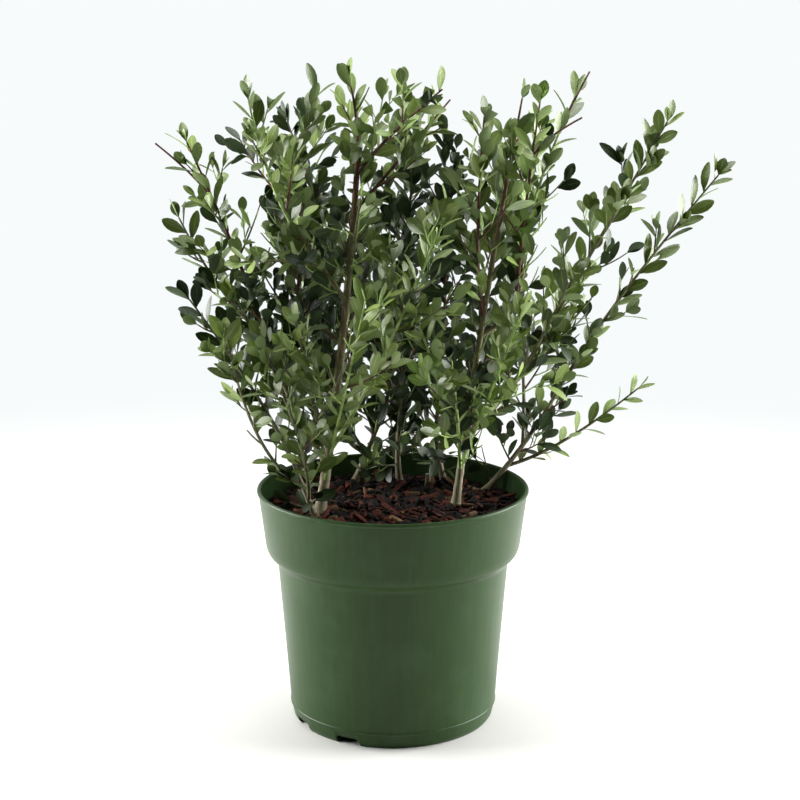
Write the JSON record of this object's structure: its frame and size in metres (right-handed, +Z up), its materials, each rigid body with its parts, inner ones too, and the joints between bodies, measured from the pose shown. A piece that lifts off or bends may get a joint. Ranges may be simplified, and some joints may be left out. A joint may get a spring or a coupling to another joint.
{
  "type": "potted japanese holly",
  "caption": "Bushy young evergreen shrub with small oval leaves on several upright stems, in a round green moulded nursery pot filled with bark mix.",
  "frame": {"origin": "middle of the pot's flat underside", "axes": "+Z up; -Y towards the side the plant is shown from, +X to the right there"},
  "size_m": [0.4356, 0.2998, 0.5041],
  "materials": {
    "pot_plastic": "satin injection-moulded polypropylene, mid green",
    "mix": "loose dark brown bark chips",
    "bark": "thin grey-brown bark, red-brown on the younger wood",
    "foliage": "dark green leaves, glossy above and paler below, on thin green and red-brown shoots"
  },
  "bodies": {
    "root": {"pot": "pot_plastic", "potting_mix": "mix", "left_trunk": "bark", "right_trunk": "bark", "far_right_stem": "bark", "low_left_stem": "bark", "centre_stem": "bark", "rear_right_stem": "bark", "rear_left_stem": "bark", "cut_stub": "bark", "left_bough": "bark", "middle_left_bough": "bark", "upper_left_bough": "bark", "right_bough": "bark", "right_inner_bough": "bark", "rear_left_bough": "bark", "rear_bough": "bark", "rear_right_bough": "bark", "top_shoots": "foliage", "top_right_shoots": "foliage", "top_rear_shoots": "foliage", "middle_front_shoots": "foliage", "trunk_front_shoots": "foliage", "trunk_rear_shoots": "foliage", "front_shoots": "foliage", "front_middle_shoots": "foliage", "outer_left_shoots": "foliage", "low_left_shoots": "foliage", "front_left_shoots": "foliage", "left_crown_shoots": "foliage", "far_left_shoots": "foliage", "left_inner_shoots": "foliage", "left_rear_shoots": "foliage", "upper_left_shoots": "foliage", "left_middle_shoots": "foliage", "upper_inner_shoots": "foliage", "upper_rear_shoots": "foliage", "right_top_shoots": "foliage", "right_front_shoots": "foliage", "right_middle_shoots": "foliage", "right_rear_shoots": "foliage", "front_right_shoots": "foliage", "front_low_shoots": "foliage", "right_outer_shoots": "foliage", "right_low_shoots": "foliage", "right_bough_shoots": "foliage", "upper_right_shoots": "foliage", "right_inner_shoots": "foliage", "right_crown_shoots": "foliage", "far_right_shoots": "foliage", "low_right_shoots": "foliage", "rear_low_shoots": "foliage", "centre_shoots": "foliage", "rear_shoots": "foliage", "rear_middle_shoots": "foliage", "inner_shoots": "foliage", "rear_right_shoots": "foliage", "inner_left_shoots": "foliage", "rear_left_shoots": "foliage", "rear_corner_shoots": "foliage"}
  },
  "joints": []
}
